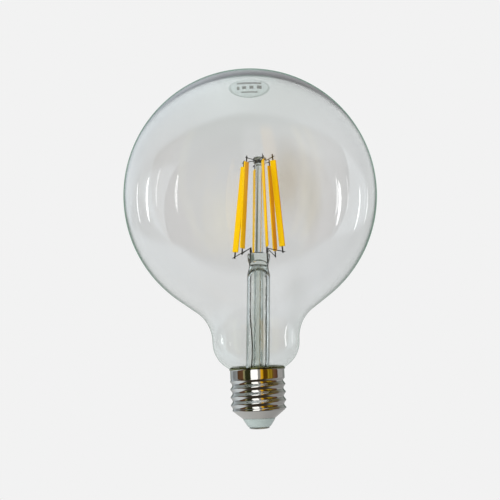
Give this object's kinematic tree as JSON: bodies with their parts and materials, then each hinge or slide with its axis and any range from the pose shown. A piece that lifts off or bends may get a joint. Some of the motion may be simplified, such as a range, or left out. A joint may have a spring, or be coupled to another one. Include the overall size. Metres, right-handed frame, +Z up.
{
  "type": "globe bulb",
  "caption": "Clear globe bulb of the LED filament kind: a blown glass globe on a screw cap, with a glass stem and a ring of yellow filament strips inside.",
  "frame": {"origin": "lowest point of the centre contact, on the cap's axis, below the middle of the globe", "axes": "+Z up the cap's axis to the globe's crown; -Y faces the viewer of the reference picture; +X to that viewer's right"},
  "size_m": [0.125, 0.125, 0.1746],
  "materials": {
    "clear_glass": "clear soda-lime glass, blown, smooth",
    "stem_glass": "clear glass with a green-grey tint, drawn and pinched",
    "nickel_wire": "dull dark nickel-plated wire",
    "plated_cap": "bright nickel-plated sheet, rolled",
    "pale_insulator": "pale mint-white insulator, satin",
    "contact_brass": "plated brass, dulled",
    "solder": "bright solder",
    "phosphor": "yellow phosphor in silicone, satin",
    "cement": "set capping cement, matt",
    "board": "white-coated glass-epoxy board",
    "black_moulding": "black moulding compound",
    "capacitor_can": "sleeved aluminium can",
    "resistor_coat": "grey-green coated resistor",
    "copper_wire": "tinned copper wire"
  },
  "bodies": {
    "root": {"arm_wire_1": "nickel_wire", "arm_wire_2": "nickel_wire", "arm_wire_3": "nickel_wire", "arm_wire_4": "nickel_wire", "arm_wire_5": "nickel_wire", "arm_wire_6": "nickel_wire", "bridge_rectifier": "black_moulding", "cap_cement": "cement", "cap_insulator": "pale_insulator", "cap_shell": "plated_cap", "centre_contact": "contact_brass", "contact_solder": "solder", "contact_wire": "copper_wire", "driver_board": "board", "driver_chip": "black_moulding", "exhaust_tube": "stem_glass", "filament_1": "phosphor", "filament_2": "phosphor", "filament_3": "phosphor", "filament_4": "phosphor", "filament_5": "phosphor", "filament_6": "phosphor", "filament_tabs": "nickel_wire", "fusible_resistor": "resistor_coat", "glass_globe": "clear_glass", "lead_wire_left": "nickel_wire", "lead_wire_right": "nickel_wire", "link_wire_1": "nickel_wire", "link_wire_2": "nickel_wire", "link_wire_3": "nickel_wire", "shell_wire": "copper_wire", "smoothing_capacitor": "capacitor_can", "stem_tube": "stem_glass", "support_rod": "stem_glass"}
  },
  "joints": []
}
